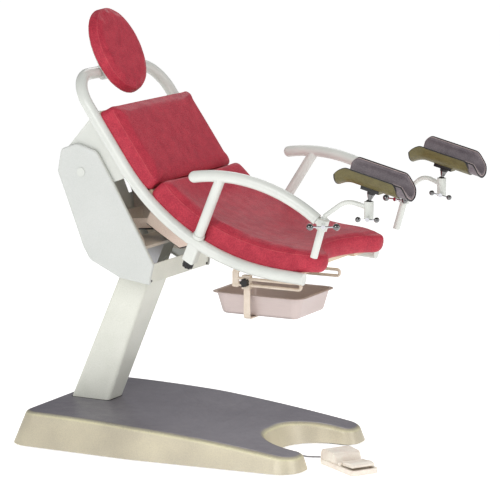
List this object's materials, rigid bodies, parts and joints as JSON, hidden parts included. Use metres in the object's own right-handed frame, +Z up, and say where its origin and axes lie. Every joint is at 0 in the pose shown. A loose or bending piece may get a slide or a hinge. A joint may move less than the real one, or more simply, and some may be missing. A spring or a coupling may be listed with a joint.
{
  "type": "gynecological examination chair",
  "caption": "Examination chair on a leaning lift column: tilting curved seat with pads, round headrest, swing armrests with knee crutches, sliding bowl, foot switch.",
  "frame": {"origin": "on the floor, under the middle of the base plate", "axes": "+X to the foot end, +Y to the sitter's left, +Z up; the seat is at its low front stop and the lift a little above its low end"},
  "size_m": [1.5454, 0.7861, 1.5487],
  "materials": {
    "base_shell": "satin metallic lacquer, blue-grey on top and champagne on the walls",
    "steel_plate": "matte powder coat",
    "black_rubber": "matte",
    "black_plastic": "matte",
    "white_lacquer": "smooth white powder coat",
    "cream_lacquer": "smooth cream powder coat",
    "bare_steel": "drawn and brushed",
    "chrome": "polished",
    "guide_plastic": "natural",
    "cover_plastic": "white moulded, light grain",
    "board": "plywood",
    "red_upholstery": "dark red coated upholstery fabric, satin, light leather grain",
    "drive_case": "pinkish beige moulded",
    "olive_shell": "olive moulded, satin",
    "grey_pad": "dark grey skinned foam",
    "bowl_steel": "stainless, satin",
    "switch_plastic": "pale cream moulded",
    "cable_sheath": "grey sheath"
  },
  "bodies": {
    "base": {"base_cover": "base_shell", "base_plate": "steel_plate", "levelling_feet": "black_rubber", "column_seal": "black_rubber", "mains_inlet": "black_plastic", "column_outer": "cream_lacquer", "column_guides": "guide_plastic", "lift_ram": "steel_plate", "cable_gland": "black_rubber", "cable_tube": "cable_sheath", "cable_coil": "cable_sheath", "foot_switch": "switch_plastic"},
    "lift_head": {"column_inner": "bare_steel", "lift_rod": "chrome", "head_frame": "steel_plate", "hood_cover_right": "cover_plastic", "hood_cover_left": "cover_plastic", "hood_front_plate": "cream_lacquer", "hood_rear_cover": "cover_plastic", "pivot_pins": "bare_steel", "pivot_caps": "white_lacquer", "cover_fasteners": "black_plastic"},
    "seat": {"rail_right": "white_lacquer", "rail_left": "white_lacquer", "head_hoop": "white_lacquer", "rail_end_caps": "cover_plastic", "tilt_frame": "white_lacquer", "seat_cross_tubes": "white_lacquer", "seat_board": "board", "back_board": "board", "seat_pad": "red_upholstery", "back_pad": "red_upholstery", "arm_sockets": "white_lacquer", "bowl_slide_rails": "cream_lacquer"},
    "headrest": {"headrest_bracket": "white_lacquer", "headrest_pad": "red_upholstery"},
    "drive_body": {"drive_housing": "drive_case"},
    "drive_shaft": {"drive_rod": "chrome"},
    "bowl_tray": {"bowl": "bowl_steel", "bowl_carrier": "cream_lacquer"},
    "bowl_clamp": {"bowl_knob": "black_plastic"},
    "pedal": {"foot_pedal": "switch_plastic"},
    "arm_right": {"armrest_right": "white_lacquer"},
    "arm_clamp_right": {"arm_knob_right": "black_plastic"},
    "leg_bush_right": {"leg_bush_right": "guide_plastic"},
    "leg_carrier_right": {"leg_rod_right": "white_lacquer"},
    "leg_clamp_right": {"leg_handle_right": "chrome"},
    "crutch_clamp_right": {"crutch_handle_right": "chrome"},
    "crutch_joint_right": {"crutch_ball_right": "black_plastic"},
    "crutch_right": {"crutch_shell_right": "olive_shell", "crutch_pad_right": "grey_pad"},
    "arm_left": {"armrest_left": "white_lacquer"},
    "arm_clamp_left": {"arm_knob_left": "black_plastic"},
    "leg_bush_left": {"leg_bush_left": "guide_plastic"},
    "leg_carrier_left": {"leg_rod_left": "white_lacquer"},
    "leg_clamp_left": {"leg_handle_left": "chrome"},
    "crutch_clamp_left": {"crutch_handle_left": "chrome"},
    "crutch_joint_left": {"crutch_ball_left": "black_plastic"},
    "crutch_left": {"crutch_shell_left": "olive_shell", "crutch_pad_left": "grey_pad"}
  },
  "joints": [
    {"name": "lift", "type": "slide", "parent": "base", "child": "lift_head", "axis": [0.3971, 0, 0.9178], "range_m": [-0.08, 0.2]},
    {"name": "seat_tilt", "type": "hinge", "parent": "lift_head", "child": "seat", "pos_m": [-0.322, 0, 0.978], "axis": [0, -1, 0], "range_deg": [0, 25]},
    {"name": "drive_swing", "type": "hinge", "parent": "seat", "child": "drive_body", "pos_m": [0.036, 0, 0.792], "axis": [0, -1, 0], "range_deg": [-1.82, 0]},
    {"name": "drive_extend", "type": "slide", "parent": "drive_body", "child": "drive_shaft", "axis": [-0.9958, 0, -0.0916], "range_m": [0, 0.0948]},
    {"name": "headrest_tilt", "type": "hinge", "parent": "seat", "child": "headrest", "pos_m": [-0.31774, 0, 1.3196], "axis": [0, 1, 0], "range_deg": [0, 20]},
    {"name": "bowl_slide", "type": "slide", "parent": "seat", "child": "bowl_tray", "axis": [1, 0, 0], "range_m": [0, 0.16]},
    {"name": "bowl_knob_turn", "type": "hinge", "parent": "bowl_tray", "child": "bowl_clamp", "pos_m": [0.298, -0.173, 0.627], "axis": [0, -1, 0], "range_deg": [0, 180]},
    {"name": "pedal_press", "type": "hinge", "parent": "base", "child": "pedal", "pos_m": [0.68678, -0.12038, 0.024], "axis": [0.5358, 0.8443, 0], "range_deg": [0, 5], "stiffness_Nm_per_rad": 1.2, "springref_deg": -6.88},
    {"name": "arm_swing_right", "type": "hinge", "parent": "seat", "child": "arm_right", "pos_m": [0.174, -0.29, 0.777], "axis": [-0.4634, 0.2314, -0.8554], "range_deg": [0, 80]},
    {"name": "arm_knob_turn_right", "type": "hinge", "parent": "arm_right", "child": "arm_clamp_right", "pos_m": [0.12998, -0.26802, 0.69574], "axis": [0.4634, -0.2314, 0.8554], "range_deg": [0, 180]},
    {"name": "leg_turn_right", "type": "hinge", "parent": "arm_right", "child": "leg_bush_right", "pos_m": [0.6744, -0.33161, 0.88242], "axis": [-0.2756, 0, -0.9613], "range_deg": [-30, 45]},
    {"name": "leg_height_right", "type": "slide", "parent": "leg_bush_right", "child": "leg_carrier_right", "axis": [0.2756, 0, 0.9613], "range_m": [0, 0.08]},
    {"name": "leg_handle_turn_right", "type": "hinge", "parent": "arm_right", "child": "leg_clamp_right", "pos_m": [0.69241, -0.3662, 0.88242], "axis": [0.4617, -0.887, 0], "range_deg": [0, 60]},
    {"name": "crutch_tilt_right", "type": "hinge", "parent": "leg_carrier_right", "child": "crutch_joint_right", "pos_m": [0.828, -0.3, 0.962], "axis": [0, 1, 0], "range_deg": [-14, 8]},
    {"name": "crutch_swivel_right", "type": "hinge", "parent": "crutch_joint_right", "child": "crutch_right", "pos_m": [0.83889, -0.3, 1.00566], "axis": [0.2419, 0, 0.9703], "range_deg": [-35, 35]},
    {"name": "crutch_handle_turn_right", "type": "hinge", "parent": "leg_carrier_right", "child": "crutch_clamp_right", "pos_m": [0.83758, -0.32948, 0.912], "axis": [0.309, -0.9511, 0], "range_deg": [0, 60]},
    {"name": "arm_swing_left", "type": "hinge", "parent": "seat", "child": "arm_left", "pos_m": [0.174, 0.29, 0.777], "axis": [0.4634, 0.2314, 0.8554], "range_deg": [0, 80]},
    {"name": "arm_knob_turn_left", "type": "hinge", "parent": "arm_left", "child": "arm_clamp_left", "pos_m": [0.12998, 0.26802, 0.69574], "axis": [0.4634, 0.2314, 0.8554], "range_deg": [0, 180]},
    {"name": "leg_turn_left", "type": "hinge", "parent": "arm_left", "child": "leg_bush_left", "pos_m": [0.6744, 0.33161, 0.88242], "axis": [0.2756, 0, 0.9613], "range_deg": [-30, 45]},
    {"name": "leg_height_left", "type": "slide", "parent": "leg_bush_left", "child": "leg_carrier_left", "axis": [0.2756, 0, 0.9613], "range_m": [0, 0.08]},
    {"name": "leg_handle_turn_left", "type": "hinge", "parent": "arm_left", "child": "leg_clamp_left", "pos_m": [0.66267, 0.29441, 0.88242], "axis": [-0.3007, -0.9537, 0], "range_deg": [0, 60]},
    {"name": "crutch_tilt_left", "type": "hinge", "parent": "leg_carrier_left", "child": "crutch_joint_left", "pos_m": [0.828, 0.3, 0.962], "axis": [0, 1, 0], "range_deg": [-14, 8]},
    {"name": "crutch_swivel_left", "type": "hinge", "parent": "crutch_joint_left", "child": "crutch_left", "pos_m": [0.83889, 0.3, 1.00566], "axis": [0.2419, 0, 0.9703], "range_deg": [-35, 35]},
    {"name": "crutch_handle_turn_left", "type": "hinge", "parent": "leg_carrier_left", "child": "crutch_clamp_left", "pos_m": [0.83758, 0.27052, 0.912], "axis": [0.309, -0.9511, 0], "range_deg": [0, 60]}
  ],
  "couplings": [
    {"joint": "drive_swing", "follows": "seat_tilt", "ratio": -0.065},
    {"joint": "drive_extend", "follows": "seat_tilt", "m_per_rad": 0.215}
  ]
}
